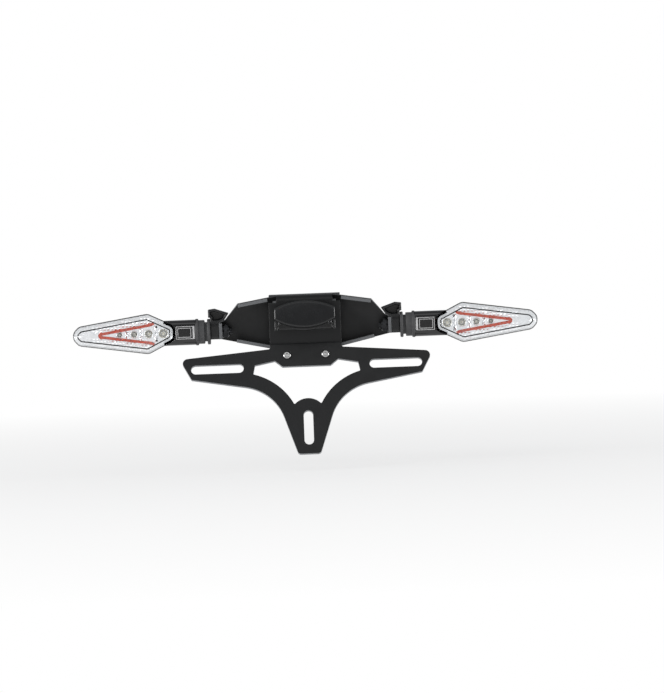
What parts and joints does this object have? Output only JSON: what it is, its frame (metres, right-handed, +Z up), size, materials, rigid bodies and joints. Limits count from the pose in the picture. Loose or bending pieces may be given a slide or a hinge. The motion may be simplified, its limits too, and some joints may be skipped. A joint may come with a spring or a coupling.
{
  "type": "motorcycle tail tidy",
  "caption": "Folded black hanger for a motorcycle's tail with a winged slotted number plate bracket, a hooded plate light and long clear indicators on channel arms.",
  "frame": {"origin": "centre of the four fixing holes, on the top face of the hanger's flange", "axes": "+X to the right seen from behind the motorcycle, +Y forward along the motorcycle, +Z up"},
  "size_m": [0.364, 0.1021, 0.1234],
  "materials": {
    "powder_coat": "satin",
    "stainless": "satin",
    "black_steel": "satin",
    "black_plastic": "matte",
    "gloss_black": "gloss",
    "black_rubber": "matte",
    "clear_lens": "gloss",
    "silvering": "polished",
    "red_guide": "gloss",
    "circuit_board": "matte",
    "led_chip": "gloss"
  },
  "bodies": {
    "root": {"arm_nuts": "stainless", "arm_screws": "stainless", "left_adaptor": "black_plastic", "left_arm": "powder_coat", "left_badge_tile": "gloss_black", "left_boot": "black_rubber", "left_indicator_body": "gloss_black", "left_lamp_board": "circuit_board", "left_lamp_leds": "led_chip", "left_lens": "clear_lens", "left_light_guide": "red_guide", "left_reflector": "silvering", "left_stem": "black_steel", "left_stem_nut": "black_steel", "left_stem_washer": "black_steel", "main_bracket": "powder_coat", "number_plate_bracket": "powder_coat", "plate_light_board": "circuit_board", "plate_light_gasket": "black_rubber", "plate_light_hood": "black_plastic", "plate_light_leds": "led_chip", "plate_light_lens": "clear_lens", "plate_light_screws": "stainless", "plate_nuts": "stainless", "plate_screws": "stainless", "plate_washers": "stainless", "right_adaptor": "black_plastic", "right_arm": "powder_coat", "right_badge_tile": "gloss_black", "right_boot": "black_rubber", "right_indicator_body": "gloss_black", "right_lamp_board": "circuit_board", "right_lamp_leds": "led_chip", "right_lens": "clear_lens", "right_light_guide": "red_guide", "right_reflector": "silvering", "right_stem": "black_steel", "right_stem_nut": "black_steel", "right_stem_washer": "black_steel"}
  },
  "joints": []
}
